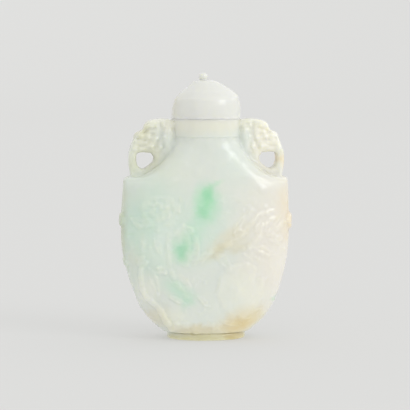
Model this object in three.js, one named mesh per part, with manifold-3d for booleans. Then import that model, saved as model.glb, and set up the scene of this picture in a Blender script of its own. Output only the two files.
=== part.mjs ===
// A jadeite snuff bottle: a flattened ovoid bottle with a cylindrical neck, an oval foot rim and two
// beast-mask handles, each with a ring, carved from one stone with a fruiting peach branch in low relief,
// and a domed jade stopper with a plug that drops into the mouth.
// Millimetres. +Z is up, the front faces -Y, and the origin is the centre of the foot's underside.
import * as THREE from "three";
import Module from "manifold-3d";
import { mergeVertices } from "three/addons/utils/BufferGeometryUtils.js";

const wasm = await Module();
wasm.setup();

// ---- driving dimensions -------------------------------------------------------------------------
const LIP_Z = 58; // the mouth's flat lip, where the stopper rests
const BELLY = { z: 28, halfWidth: 22.25, halfDepth: 10.9, squareness: 2.35 };
const LOWER_REACH = { width: 29.6, depth: 38.5 }; // vertical half-axes of the lower half's outlines
const LOWER_SWELL = { z: 5.5, reach: 6.3, by: 1.05 }; // the sides are fuller than an oval just above the foot
const UPPER_REACH = 66; // vertical half-axis of the gently closing upper half
const SWAY = { x: -0.28, z: 28, reach: 12 }; // cut by hand, the wall's middle stands a little off the axis
const SHOULDER = { x: 20.6, z: 53.2, reachX: 11.6, reachZ: 10.5, power: 1.75, edge: 4.5 };
const CORNER = { z: 42.8, radius: 0.9 }; // where the wall turns into the shoulder
const NECK = { radius: 8.85, collarRadius: 9.05, collarZ: 53.4, edge: 0.25 };
const FOOT = { halfWidth: 10.35, halfDepth: 8, height: 1.9, edge: 0.3, waist: 0.25, rim: 2.1, recess: 0.9 };
const FOOT_SQUARENESS = 2.1;
const CAVITY = { wall: 3.3, floorZ: 5.8, roofZ: 44.5, squareness: 2.2, boreRadius: 3.6, boreZ: 47.5 };
const STOPPER = { radius: 9.05, plugRadius: 3.2, plugLength: 6, shoulderZ: 63.6, crownZ: 68.1, topZ: 70 };
const STOPPER_LEAN = { slope: 0.05, fromZ: 60.5, toZ: 64 }; // the crown is cut a little out of true
const STOPPER_TAPER = 0.06; // how much narrower the left side is at the shoulder than at the lip
const BUD = { neck: 1.05, radius: 1.2, offset: -0.35 };
const HANDLE = { headHalf: 3, ringHalf: 2.2, bevel: 0.8 };

// How finely the surfaces are cut.
const WALL_COLUMNS = 38;
const WALL_ROWS = 13;
const SHOULDER_ROWS = 5;
const CAVITY_ROWS = 7;
const ROUND_SEGMENTS = 24;
const LUMP_SEGMENTS = 7;

// ---- small helpers ------------------------------------------------------------------------------
const radians = (degrees) => (degrees * Math.PI) / 180;
const clamp01 = (v) => Math.min(Math.max(v, 0), 1);
const mix = (a, b, t) => a + (b - a) * t;

/** 0 below `from`, 1 above `to`, and a smooth rise between them. */
function smooth(from, to, v) {
  const t = clamp01((v - from) / (to - from));
  return t * t * (3 - 2 * t);
}

/** A three.js geometry as a manifold-3d solid. */
function solidOf(geometry) {
  const bare = geometry.index ? geometry.toNonIndexed() : geometry.clone();
  bare.deleteAttribute("normal");
  bare.deleteAttribute("uv");
  const merged = mergeVertices(bare, 1e-4);
  const vertProperties = new Float32Array(merged.attributes.position.array);
  const triVerts = new Uint32Array(merged.index.array);
  return new wasm.Manifold(new wasm.Mesh({ numProp: 3, vertProperties, triVerts }));
}

/** A manifold-3d solid as a three.js geometry. */
function geometryOf(solid) {
  const mesh = solid.getMesh();
  const positions = new Float32Array(mesh.numVert * 3);
  for (let i = 0; i < mesh.numVert; i += 1) {
    positions.set(mesh.vertProperties.subarray(i * mesh.numProp, i * mesh.numProp + 3), i * 3);
  }
  const geometry = new THREE.BufferGeometry();
  geometry.setAttribute("position", new THREE.BufferAttribute(positions, 3));
  geometry.setIndex(new THREE.BufferAttribute(new Uint32Array(mesh.triVerts), 1));
  geometry.computeVertexNormals();
  return geometry;
}

// ---- the bottle's sections ----------------------------------------------------------------------
/** Half-width at a height of the outline that the two halves of the body share, without the shoulders. */
function ovalWidthAt(z) {
  const below = Math.max(BELLY.z - z, 0) / LOWER_REACH.width;
  const above = Math.max(z - BELLY.z, 0) / UPPER_REACH;
  const swell = LOWER_SWELL.by * Math.exp(-(((z - LOWER_SWELL.z) / LOWER_SWELL.reach) ** 2));
  return BELLY.halfWidth * Math.sqrt(1 - below * below - above * above) + swell;
}

/** Half-width of the outer wall at a height. */
function halfWidthAt(z) {
  const wall = ovalWidthAt(z);
  if (z < CORNER.z) return wall;
  const drop = clamp01((SHOULDER.z - z) / SHOULDER.reachZ);
  const hollow = SHOULDER.reachX * Math.pow(1 - Math.pow(drop, SHOULDER.power), 1 / SHOULDER.power);
  return Math.min(wall, SHOULDER.x - hollow);
}

/** Half-depth of the outer wall at a height. */
function halfDepthAt(z) {
  const below = Math.max(BELLY.z - z, 0) / LOWER_REACH.depth;
  if (z < BELLY.z) return BELLY.halfDepth * Math.sqrt(1 - below * below);
  return mix(BELLY.halfDepth, NECK.radius, smooth(BELLY.z, NECK.collarZ, z));
}

/** How far the middle of the outer wall stands off the axis at a height. */
const swayAt = (z) => SWAY.x * Math.exp(-(((z - SWAY.z) / SWAY.reach) ** 2));

/** How square the section is: 2 is an ellipse, and more is fuller at the corners. */
const squarenessAt = (z) => mix(BELLY.squareness, 2, smooth(38, 52, z));

/** A point of the section with half-axes a and b, at a turn theta from +X. */
function onSection(a, b, squareness, theta) {
  const c = Math.cos(theta);
  const s = Math.sin(theta);
  const power = 2 / squareness;
  return [a * Math.sign(c) * Math.abs(c) ** power, b * Math.sign(s) * Math.abs(s) ** power];
}

/**
 * A level ring of the outer wall. The broad faces run on up to the neck, and above the corner they are cut
 * back to the shoulder's half-width with a rounded edge.
 */
function wallRing(z, halfWidth) {
  const face = mix(ovalWidthAt(z), NECK.radius, smooth(CORNER.z, NECK.collarZ, z));
  const cut = Math.max((face / Math.min(halfWidth, face)) ** SHOULDER.edge - 1, 0);
  return WALL_TURNS.map((turn) => {
    const [x, y] = onSection(face, halfDepthAt(z), squarenessAt(z), turn);
    const kept = (1 + cut * Math.abs(x / face) ** SHOULDER.edge) ** (-1 / SHOULDER.edge);
    return [x * kept + swayAt(z), y * kept, z];
  });
}

/** Turns that share out the belly's outline evenly, starting from +X. */
function evenTurns(count) {
  const fine = 4000;
  const lengths = [0];
  let last = [BELLY.halfWidth, 0];
  for (let i = 1; i <= fine; i += 1) {
    const point = onSection(BELLY.halfWidth, BELLY.halfDepth, BELLY.squareness, (2 * Math.PI * i) / fine);
    lengths.push(lengths[i - 1] + Math.hypot(point[0] - last[0], point[1] - last[1]));
    last = point;
  }
  const turns = [];
  for (let k = 0, i = 0; k < count; k += 1) {
    while (lengths[i] < (lengths[fine] * k) / count) i += 1;
    turns.push((2 * Math.PI * i) / fine);
  }
  return turns;
}

const WALL_TURNS = evenTurns(WALL_COLUMNS);
const ROUND_TURNS = Array.from({ length: ROUND_SEGMENTS }, (_, i) => (2 * Math.PI * i) / ROUND_SEGMENTS);

/** The middle of a ring of points. */
const middleOf = (ring) => [0, 1, 2].map((axis) => ring.reduce((sum, p) => sum + p[axis], 0) / ring.length);

/** A closed solid through a stack of rings, lowest first; each ring is a list of points. */
function loft(rings) {
  const count = rings[0].length;
  const bottom = rings.length * count;
  const positions = [...rings.flat(), middleOf(rings[0]), middleOf(rings.at(-1))].flat();
  const index = [];
  for (let i = 0; i < count; i += 1) {
    const next = (i + 1) % count;
    index.push(bottom, next, i);
    index.push(bottom + 1, bottom - count + i, bottom - count + next);
    for (let row = 0; row + 1 < rings.length; row += 1) {
      const [a, b, c, d] = [i, next, next + count, i + count].map((v) => v + row * count);
      index.push(a, b, c, a, c, d);
    }
  }
  const geometry = new THREE.BufferGeometry();
  geometry.setAttribute("position", new THREE.Float32BufferAttribute(positions, 3));
  geometry.setIndex(index);
  return solidOf(geometry);
}

/** A level ring of the section with half-axes a and b at height z. */
const ringAt = (a, b, squareness, z, turns) =>
  turns.map((turn) => [...onSection(a, b, squareness, turn), z]);

// ---- the carving --------------------------------------------------------------------------------
// Each figure is drawn on the face as the viewer sees it, x to the right and z up from the foot, and is
// then laid on the wall. `height` is how far it stands out.
const SUNK = 0.6; // how deep a figure's base lies inside the wall

const PEACH = { at: [8.2, 13.3], half: [6.6, 7.8], tilt: 174, height: 0.6 };
const SMALL_PEACH = { at: [-6.9, 25], half: [3.7, 5.4], tilt: -170, height: 0.4 };
const KNOB = { at: [-17.6, 21], half: [1.7, 1.8], tilt: 0, height: 0.5 };
const BLOSSOM = { at: [-12.8, 34], outer: 7, outerReach: 3.3, inner: 5, innerReach: 1.5, petal: 2.1 };
const ROCKS = { from: -8.4, to: 1.8, z: 3.9, count: 5, half: [1.35, 1.5], height: 0.35 };

// Stems: the points that a stem passes through, with its radius at each end.
const STEMS = [
  { path: [[-10.7, 29.6], [-10.5, 24], [-10.3, 19.6], [-8.4, 15.6], [-6, 12]], radii: [0.8, 0.7] },
  {
    path: [[-17.3, 28.4], [-17.5, 21], [-17.6, 16.4], [-16.7, 12.2], [-13.2, 8.8], [-11.2, 5.4], [-9.6, 3.2]],
    radii: [0.7, 1],
  },
  { path: [[-2.6, 21.8], [0.8, 24.2], [5, 25.2], [10, 24.4], [15.6, 22.3]], radii: [1.1, 0.6] },
  { path: [[4.2, 25.4], [7.2, 27], [10.3, 30.2], [13, 32.9], [17.6, 34.2]], radii: [0.9, 0.6] },
  { path: [[10.6, 25], [13.6, 27.8], [17.4, 28.6], [20, 31]], radii: [0.9, 0.7] },
  { path: [[-4.2, 20.8], [-3.2, 23.4], [-3.4, 26.6], [-4.8, 29.4], [-7, 30.6]], radii: [0.7, 0.6] },
];
const STEM_HEIGHT = 0.5; // of the stem's radius at that place

// Leaves: from the stalk to the tip, with the half-width.
const LEAVES = [
  { from: [5.9, 27.9], to: [10, 28.4], width: 1.3 },
  { from: [1.2, 23.4], to: [5.8, 18.7], width: 1.5 },
  { from: [8, 24], to: [13.9, 19.6], width: 1.3 },
  { from: [12.6, 27.4], to: [14, 32], width: 1.3 },
  { from: [14.4, 28.4], to: [19.4, 32.8], width: 1.6 },
  { from: [15, 27.4], to: [20.4, 26.6], width: 1.4 },
  { from: [11.4, 24.6], to: [17.2, 22.2], width: 1.2 },
  { from: [-15.9, 19.6], to: [-13.2, 11.6], width: 1.2 },
  { from: [-15.2, 30.6], to: [-20.6, 32.4], width: 1.7 },
  { from: [-10.9, 18.2], to: [-15, 18.6], width: 1.2 },
  { from: [-4.4, 12.8], to: [-11, 16.6], width: 0.9 },
  { from: [-4.6, 13.6], to: [-9.2, 18.8], width: 0.9 },
  { from: [-6, 10.2], to: [-11.4, 12.6], width: 0.8 },
  { from: [0.2, 9.2], to: [-3.6, 12.9], width: 0.8 },
  { from: [9, 4.2], to: [2.4, 5.6], width: 0.8 },
  { from: [14, 8.4], to: [8.2, 5.4], width: 1 },
  { from: [-14.4, 27.2], to: [-12.8, 22.4], width: 1.1 },
  { from: [6.2, 29.4], to: [9.2, 33.4], width: 0.9 },
];
const LEAF_HEIGHT = 0.4;

// Leaves that fold round the narrow sides and stand out of the outline.
const SIDE_LEAVES = [
  { at: [-22.1, -1.5, 31.6], half: [0.7, 2.6, 1.6] },
  { at: [22, -1.5, 31], half: [0.9, 2.8, 2.5] },
];

/** Where a drawn point lies on the wall; `out` is its height along the wall's normal. */
function layOnWall([x, z, out], facing) {
  const wallX = facing * -x;
  const depthAt = (h) => {
    const inside = 1 - (Math.abs(wallX) / halfWidthAt(h)) ** squarenessAt(h);
    return halfDepthAt(h) * Math.max(inside, 1e-4) ** (1 / squarenessAt(h));
  };
  const step = 0.05;
  const [a, b, n] = [halfWidthAt(z), halfDepthAt(z), squarenessAt(z)];
  const y = depthAt(z);
  const slopeX = ((Math.abs(wallX) / a) ** (n - 1) * b ** n) / (a * Math.max(y, 1) ** (n - 1));
  const slopeZ = (depthAt(z + step) - depthAt(z - step)) / (2 * step);
  const normal = new THREE.Vector3(Math.sign(wallX) * slopeX, 1, -slopeZ).normalize();
  return [wallX + swayAt(z) + out * normal.x, facing * (y + out * normal.y), z + out * normal.z];
}

/** A figure with steep edges and a rounded top, from its outline, laid on one face. */
function mound(outline, height, facing) {
  const [cx, cz] = [0, 1].map((axis) => outline.reduce((sum, p) => sum + p[axis], 0) / outline.length);
  const levels = [
    [1, -SUNK],
    [1, 0.4 * height],
    [0.66, height],
  ];
  const rings = levels.map(([scale, out]) =>
    outline.map(([x, z]) => layOnWall([cx + scale * (x - cx), cz + scale * (z - cz), out], facing)),
  );
  return loft(rings);
}

/** The outline of an oval with a pointed tip; `tilt` turns the tip from straight up, in degrees. */
function fruitOutline({ at, half, tilt }, sides) {
  const turn = radians(tilt);
  return Array.from({ length: sides }, (_, i) => {
    const angle = 2 * Math.PI * (i / sides + 0.25);
    const narrowing = 1 - 0.35 * Math.max(Math.sin(angle), 0) ** 2;
    const [x, z] = [half[0] * Math.cos(angle) * narrowing, half[1] * Math.sin(angle)];
    return [at[0] + x * Math.cos(turn) - z * Math.sin(turn), at[1] + x * Math.sin(turn) + z * Math.cos(turn)];
  });
}

/** The outline of a leaf that swells from its stalk and ends in a point. */
function leafOutline({ from, to, width }) {
  const [ux, uz] = [to[0] - from[0], to[1] - from[1]];
  const length = Math.hypot(ux, uz);
  const places = [0, 0.2, 0.55, 1];
  const side = (sign) => (s) => {
    const across = sign * width * Math.sin(Math.PI * s ** 0.8);
    return [from[0] + s * ux + (across * uz) / length, from[1] + s * uz - (across * ux) / length];
  };
  return [...places.map(side(1)), ...places.slice(1, -1).reverse().map(side(-1))];
}

/** A half-round stem along a smooth path, laid on one face. */
function stem({ path, radii }, facing) {
  const curve = new THREE.CatmullRomCurve3(path.map(([x, z]) => new THREE.Vector3(x, z, 0)));
  const section = [[-1, -1], [1, -1], [0.9, 0.3], [0, 0.95], [-0.9, 0.3]];
  const steps = path.length + 3;
  const rings = [];
  for (let i = 0; i <= steps; i += 1) {
    const t = i / steps;
    const point = curve.getPoint(t);
    const along = curve.getTangent(t);
    const radius = mix(...radii, t) * (1 + 0.12 * Math.cos(Math.PI * i)); // knotty
    rings.push(
      section.map(([across, up]) => {
        const [x, z] = [point.x - across * radius * along.y, point.y + across * radius * along.x];
        return layOnWall([x, z, up < 0 ? -SUNK : up * radius * STEM_HEIGHT], facing);
      }),
    );
  }
  return loft(rings);
}

/** The petals of the blossom: an outer round that stands lower and an inner round on top of it. */
function blossomPetals() {
  const { at, outer, outerReach, inner, innerReach, petal } = BLOSSOM;
  const petals = [];
  const round = (count, reach, size, height, start) => {
    for (let i = 0; i < count; i += 1) {
      const turn = start + (360 * i) / count;
      const middle = [at[0] + reach * Math.cos(radians(turn)), at[1] + reach * Math.sin(radians(turn))];
      petals.push({ at: middle, half: [size, 0.9 * size], tilt: turn + 90, height });
    }
  };
  round(outer, outerReach, petal, 0.3, 10);
  round(inner, innerReach, 0.66 * petal, 0.45, 40);
  return petals;
}

/** Rocks in a row along the base. */
function rocks() {
  return Array.from({ length: ROCKS.count }, (_, i) => ({
    at: [mix(ROCKS.from, ROCKS.to, i / (ROCKS.count - 1)), ROCKS.z + 0.4 * Math.sin(2.3 * i)],
    half: ROCKS.half,
    tilt: 0,
    height: ROCKS.height,
  }));
}

/** Everything carved on the front. */
function frontCarving() {
  return [
    mound(fruitOutline(PEACH, 18), PEACH.height, -1),
    mound(fruitOutline(SMALL_PEACH, 14), SMALL_PEACH.height, -1),
    ...[KNOB, ...blossomPetals(), ...rocks()].map((f) => mound(fruitOutline(f, 7), f.height, -1)),
    ...STEMS.map((s) => stem(s, -1)),
    ...LEAVES.map((l) => mound(leafOutline(l), LEAF_HEIGHT, -1)),
  ];
}

/** The plainer back: one peach on its branch, with a few leaves. */
function backCarving() {
  return [
    mound(fruitOutline(PEACH, 14), 0.8 * PEACH.height, 1),
    ...STEMS.slice(2, 4).map((s) => stem(s, 1)),
    ...LEAVES.slice(1, 5).map((l) => mound(leafOutline(l), LEAF_HEIGHT, 1)),
  ];
}

// ---- the bottle ---------------------------------------------------------------------------------
/** The smooth outside of the bottle, from the foot rim to the lip. */
function outside() {
  const foot = [
    [FOOT.edge, 0],
    [0, FOOT.edge],
    [0, 0.55 * FOOT.height],
    [FOOT.waist, FOOT.height],
  ].map(([inset, z]) =>
    ringAt(FOOT.halfWidth - inset, FOOT.halfDepth - inset, FOOT_SQUARENESS, z, WALL_TURNS),
  );
  const ownRing = (z) => wallRing(z, halfWidthAt(z));

  // The wall's rows are closer together near the foot, where it curves most.
  const wallFrom = FOOT.height + 0.15;
  const wallTo = CORNER.z - CORNER.radius;
  const wall = Array.from({ length: WALL_ROWS + 1 }, (_, i) =>
    ownRing(mix(wallFrom, wallTo, (i / WALL_ROWS) ** 1.25)),
  );

  // The corner is rounded off, and the shoulder sweeps in a hollow curve up to the neck.
  const corner = [35, 70].map((turn) => {
    const z = wallTo + CORNER.radius * Math.sin(radians(turn));
    return wallRing(z, halfWidthAt(wallTo) - CORNER.radius * (1 - Math.cos(radians(turn))));
  });
  const shoulder = Array.from({ length: SHOULDER_ROWS }, (_, i) => {
    const drop = Math.cos((Math.PI / 2) * ((i + 1) / (SHOULDER_ROWS + 1)));
    return ownRing(SHOULDER.z - 0.99 * SHOULDER.reachZ * drop);
  });
  const neck = [
    [NECK.radius, NECK.collarZ - NECK.edge],
    [NECK.collarRadius, NECK.collarZ],
    [NECK.collarRadius, LIP_Z - NECK.edge],
    [NECK.collarRadius - NECK.edge, LIP_Z],
  ].map(([radius, z]) => ringAt(radius, radius, 2, z, WALL_TURNS));
  return loft([...foot, ...wall, ...corner, ...shoulder, ...neck]);
}

/** The hollow: a chamber that follows the wall, and a round bore up through the neck. */
function hollow() {
  const rings = [];
  for (let i = 0; i <= CAVITY_ROWS; i += 1) {
    const level = mix(-0.98, 0.93, i / CAVITY_ROWS); // -1 at the floor and 1 at the roof
    const z = mix(CAVITY.floorZ, CAVITY.roofZ, (level + 1) / 2);
    const closing = (1 - Math.abs(level) ** 3) ** (1 / 3); // rounds the floor and the roof
    const a = (halfWidthAt(z) - CAVITY.wall) * closing;
    const b = (halfDepthAt(z) - CAVITY.wall) * closing;
    rings.push(ringAt(a, b, CAVITY.squareness, z, ROUND_TURNS));
  }
  for (const z of [CAVITY.boreZ, LIP_Z + 1]) {
    rings.push(ringAt(CAVITY.boreRadius, CAVITY.boreRadius, 2, z, ROUND_TURNS));
  }
  return loft(rings);
}

/** The shallow recess inside the foot rim. */
function footRecess() {
  const [a, b] = [FOOT.halfWidth - FOOT.rim, FOOT.halfDepth - FOOT.rim];
  const half = 0.5 * FOOT.recess; // the upper half of the recess narrows by as much as it is deep
  const ring = (inset, z) => ringAt(a - inset, b - inset, FOOT_SQUARENESS, z, ROUND_TURNS);
  return loft([ring(0, -1), ring(0, half), ring(half, FOOT.recess)]);
}

// ---- the handles --------------------------------------------------------------------------------
/** A plate cut to an outline in the XZ plane, centred on y = 0, with its edges taken off. */
function plate(shape, halfThickness) {
  const { bevel } = HANDLE;
  const geometry = new THREE.ExtrudeGeometry(shape, {
    depth: 2 * (halfThickness - bevel),
    bevelEnabled: true,
    bevelThickness: bevel,
    bevelSize: bevel,
    bevelOffset: -bevel,
    bevelSegments: 1,
    curveSegments: 3,
  });
  geometry.translate(0, 0, -(halfThickness - bevel));
  geometry.rotateX(Math.PI / 2);
  return solidOf(geometry);
}

/** A rounded lump at [x, y, z] with three half-axes. */
function lump([x, y, z], [rx, ry, rz]) {
  const geometry = new THREE.SphereGeometry(1, LUMP_SEGMENTS, Math.ceil(0.7 * LUMP_SEGMENTS));
  geometry.scale(rx, ry, rz);
  geometry.translate(x, y, z);
  return solidOf(geometry);
}

/** The right-hand handle: a beast's mask against the neck, with a ring from its jaw to the shoulder. */
function handle() {
  const head = new THREE.Shape();
  head.moveTo(8, 57.6);
  head.lineTo(9.2, 57.8);
  head.quadraticCurveTo(12.8, 58.3, 15.3, 57.3); // crown
  head.quadraticCurveTo(16.6, 56.7, 16.6, 55.3); // brow
  head.lineTo(17.5, 54.7);
  head.quadraticCurveTo(19.4, 52.8, 20.1, 50); // muzzle
  head.lineTo(19.4, 49.5);
  head.lineTo(14.3, 49.3); // underside of the jaw
  head.lineTo(12.4, 44.6);
  head.lineTo(9.4, 46.4);
  head.lineTo(8, 51);
  head.closePath();

  const ring = new THREE.Shape();
  ring.moveTo(13, 51.6);
  ring.lineTo(18.6, 52.6);
  ring.bezierCurveTo(20.9, 49.6, 21, 46, 19.5, 42.4);
  ring.lineTo(16, 40.6);
  ring.lineTo(12, 41.4);
  ring.lineTo(10.6, 46);
  ring.closePath();
  const gap = new THREE.Path(); // the open middle of the ring, cut lower towards the outside
  gap.moveTo(14.6, 49);
  gap.quadraticCurveTo(13.9, 48.9, 13.9, 47.8);
  gap.lineTo(14.2, 46.7);
  gap.lineTo(16.2, 45);
  gap.quadraticCurveTo(16.9, 44.6, 17.6, 45.1);
  gap.quadraticCurveTo(18.5, 45.9, 18.5, 47);
  gap.lineTo(18.5, 48.3);
  gap.quadraticCurveTo(18.4, 49.1, 17.6, 49.1);
  ring.holes.push(gap);

  const features = [plate(ring, HANDLE.ringHalf), plate(head, HANDLE.headHalf)];
  features.push(lump([17.6, 0, 52.8], [1.7, 2.5, 1.9])); // nose
  features.push(lump([14.4, 0, 56.1], [1.9, 3.3, 1.6])); // brow
  for (const side of [-1, 1]) {
    features.push(lump([16.9, side * 2.2, 53.5], [0.9, 1.1, 0.9])); // eye
    features.push(lump([9.8, side * 2.6, 52.6], [1.8, 2, 5])); // mane
    features.push(lump([15.2, side * 2.2, 51.2], [2, 1.3, 1.5])); // cheek
  }
  return features.reduce((whole, feature) => whole.add(feature));
}

/** The bottle with its carving and its two handles, hollowed through the mouth. */
function bottle() {
  const right = handle();
  const left = right.mirror([1, 0, 0]);
  const sides = SIDE_LEAVES.map(({ at, half }) => lump(at, half));
  const raised = [...frontCarving(), ...backCarving(), ...sides, right, left];
  const whole = raised.reduce((carved, figure) => carved.add(figure), outside());
  const bodies = whole.subtract(hollow()).subtract(footRecess()).decompose();
  return bodies.sort((one, other) => other.volume() - one.volume())[0]; // drops pockets shut between figures
}

// ---- the stopper --------------------------------------------------------------------------------
/** A domed cap like an official's summer hat, with a bud on top and a plug below. */
function stopper() {
  const { radius, plugRadius, plugLength, shoulderZ, crownZ, topZ } = STOPPER;
  const plugZ = LIP_Z - plugLength;
  const edge = 0.3;
  const outline = [
    [0, plugZ],
    [plugRadius - edge, plugZ],
    [plugRadius, plugZ + edge],
    [plugRadius, LIP_Z],
    [radius - edge, LIP_Z],
    [radius, LIP_Z + edge],
    [radius, LIP_Z + 3.4],
    [radius - 0.2, shoulderZ],
    [radius - 0.7, shoulderZ + 0.7],
    [0.6 * radius, shoulderZ + 2.8],
    [0.41 * radius, crownZ - 0.5],
    [0.27 * radius, crownZ - 0.05],
    [BUD.neck, crownZ],
    [BUD.radius, mix(crownZ, topZ, 0.45)],
    [0.8 * BUD.radius, mix(crownZ, topZ, 0.85)],
    [0, topZ],
  ].map(([r, z]) => new THREE.Vector2(r, z));
  const geometry = new THREE.LatheGeometry(outline, ROUND_SEGMENTS);
  geometry.rotateX(Math.PI / 2);

  // The crown leans: its right side stands higher, its left side tapers and its bud moves to the left.
  const { slope, fromZ, toZ } = STOPPER_LEAN;
  const place = geometry.attributes.position;
  for (let i = 0; i < place.count; i += 1) {
    const [x, z] = [place.getX(i), place.getZ(i)];
    const lean = slope * smooth(fromZ, toZ, z);
    const taper = x < 0 ? STOPPER_TAPER * smooth(LIP_Z + 1, toZ, z) * smooth(topZ, crownZ - 1, z) : 0;
    place.setX(i, x * (1 - taper) - lean * (z - fromZ) + BUD.offset * smooth(crownZ - 1, crownZ, z));
    place.setZ(i, z + lean * x);
  }
  return geometry;
}

// ---- the object ---------------------------------------------------------------------------------
/** A named mesh with its own polished stone. */
function piece(name, geometry, color, roughness) {
  const material = new THREE.MeshStandardMaterial({ color, roughness, metalness: 0 });
  const mesh = new THREE.Mesh(geometry, material);
  mesh.name = name;
  return mesh;
}

const snuffBottle = new THREE.Group();
snuffBottle.add(piece("bottle", geometryOf(bottle()), 0xd6e0d2, 0.22));
snuffBottle.add(piece("stopper", stopper(), 0xe4e4dc, 0.22));

export default snuffBottle;
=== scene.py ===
"""Looks for a carved jadeite snuff bottle with a white jade stopper.

The bottle is one stone: a flattened ovoid vessel on an oval foot, with a fruiting peach branch in low
relief on its faces and two beast-mask handles that each hold a ring. The stopper is a second stone that
rests on the mouth. Sizes are in millimetres, +Z is up and the front faces -Y; meshes are made in metres.
"""

from __future__ import annotations

import logging
import math
from dataclasses import dataclass, field
from enum import Enum

import bmesh
import bpy
import numpy as np
from mathutils import Matrix, Vector


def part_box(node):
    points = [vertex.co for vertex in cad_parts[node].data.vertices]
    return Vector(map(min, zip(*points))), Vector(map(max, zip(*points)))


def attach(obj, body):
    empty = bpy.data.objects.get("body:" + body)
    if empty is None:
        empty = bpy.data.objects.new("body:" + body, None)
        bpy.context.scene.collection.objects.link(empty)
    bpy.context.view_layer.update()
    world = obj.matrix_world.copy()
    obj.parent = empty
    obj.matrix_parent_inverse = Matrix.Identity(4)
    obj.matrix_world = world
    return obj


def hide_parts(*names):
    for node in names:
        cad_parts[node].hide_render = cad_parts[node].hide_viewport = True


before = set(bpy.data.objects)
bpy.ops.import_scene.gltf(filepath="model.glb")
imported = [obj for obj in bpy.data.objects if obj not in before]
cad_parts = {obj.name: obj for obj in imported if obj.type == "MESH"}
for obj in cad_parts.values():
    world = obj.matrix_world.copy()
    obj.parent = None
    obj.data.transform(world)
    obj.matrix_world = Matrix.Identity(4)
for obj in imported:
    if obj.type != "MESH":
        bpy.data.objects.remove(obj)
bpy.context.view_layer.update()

LOG = logging.getLogger("snuff_bottle")
MM = 0.001
WELD = 1e-7  # in metres: points closer than this are one
Array = np.ndarray
BMesh = bmesh.types.BMesh
Mesh = bpy.types.Mesh
Object = bpy.types.Object
Point = tuple[float, float]
Place = tuple[float, float, float]
Cloud = tuple[str, Place, Place, float, float, float]
Socket = bpy.types.NodeSocket
Tree = bpy.types.NodeTree


def frame_mm(length: float) -> float:
    """A length of the frame's as whole thousandths of a millimetre."""
    return round(length / MM, 3)


PLUG_Z = frame_mm(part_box("stopper")[0].z)  # the plug's lower end
LIP_Z = frame_mm(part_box("bottle")[1].z)  # the flat lip of the mouth
TOP_Z = frame_mm(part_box("stopper")[1].z)  # the top of the bud on the stopper
CAP_RADIUS = frame_mm(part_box("stopper")[1].x)


# ---- small helpers ------------------------------------------------------------------------------
def smooth(start: float, end: float, value: Array) -> Array:
    """A smooth rise from 0 at start to 1 at end."""
    t = np.clip((value - start) / (end - start), 0, 1)
    return t * t * (3 - 2 * t)


def soft_min(one: Array, other: Array, width: float) -> Array:
    """The smaller of two curves, with the corner where they cross rounded over width."""
    t = np.clip(0.5 + 0.5 * (other - one) / width, 0, 1)
    return one * t + other * (1 - t) - width * t * (1 - t)


def section_point(
    half_width: Array, half_depth: Array, squareness: Array, turn: Array
) -> tuple[Array, Array]:
    """A point of a rounded section.

    Args:
        half_width: Half of the section's size along X.
        half_depth: Half of the section's size along Y.
        squareness: 2 for an ellipse, and more for a section that is fuller at its corners.
        turn: Where on the section the point is, in radians from +X.

    Returns:
        Its x and y.
    """
    power = 2 / squareness
    c, s = np.cos(turn), np.sin(turn)
    return half_width * np.sign(c) * np.abs(c) ** power, half_depth * np.sign(s) * np.abs(s) ** power


def smooth_path(points: list[Point], steps: int = 14) -> Array:
    """Points closely spaced along a Catmull-Rom curve through the given ones."""
    p = np.array([points[0], *points, points[-1]], float)
    out = []
    for a, b, c, d in zip(p, p[1:], p[2:], p[3:]):
        bow, twist = 2 * a - 5 * b + 4 * c - d, 3 * b - a - 3 * c + d
        for t in np.linspace(0, 1, steps, endpoint=False):
            out.append(0.5 * (2 * b + (c - a) * t + bow * t**2 + twist * t**3))
    return np.array([*out, p[-1]])


def finished_object(name: str, bm: BMesh) -> Object:
    """Makes a smooth-shaded mesh object from a bmesh, frees the bmesh and links the object to the scene."""
    mesh = bpy.data.meshes.new(name)
    bm.to_mesh(mesh)
    bm.free()
    mesh.shade_smooth()
    obj = bpy.data.objects.new(name, mesh)
    bpy.context.scene.collection.objects.link(obj)
    return obj


def apply_modifiers(obj: Object) -> None:
    """Bakes an object's modifiers into its mesh."""
    graph = bpy.context.evaluated_depsgraph_get()
    made = bpy.data.meshes.new_from_object(obj.evaluated_get(graph))
    obj.modifiers.clear()
    obj.data = made


def coordinates(mesh: Mesh) -> Array:
    """The mesh's vertex places as rows of three."""
    co = np.zeros(len(mesh.vertices) * 3)
    mesh.vertices.foreach_get("co", co)
    return co.reshape(-1, 3)


def normals(mesh: Mesh) -> Array:
    """The mesh's vertex normals as rows of three."""
    no = np.zeros(len(mesh.vertices) * 3)
    mesh.vertices.foreach_get("normal", no)
    return no.reshape(-1, 3)


def place_vertices(mesh: Mesh, co: Array) -> None:
    """Moves the mesh's vertices to rows of three coordinates."""
    mesh.vertices.foreach_set("co", co.astype(np.float32).ravel())
    mesh.update()


def turned_rows(rows: int, columns: int) -> BMesh:
    """A tube of unit radius turned on a lathe, where the z of each row is its number."""
    bm = bmesh.new()
    verts = [bm.verts.new((1.0, 0.0, float(row))) for row in range(rows)]
    edges = [bm.edges.new(pair) for pair in zip(verts, verts[1:])]
    bmesh.ops.spin(
        bm,
        geom=[*verts, *edges],
        cent=(0, 0, 0),
        axis=(0, 0, 1),
        angle=2 * math.pi,
        steps=columns,
        use_merge=True,
        use_duplicate=False,
    )
    return bm


def row_and_turn(mesh: Mesh) -> tuple[Array, Array]:
    """Each vertex's row on a turned tube, and its turn round the axis."""
    co = coordinates(mesh)
    return np.rint(co[:, 2]).astype(int), np.arctan2(co[:, 1], co[:, 0])


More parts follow.
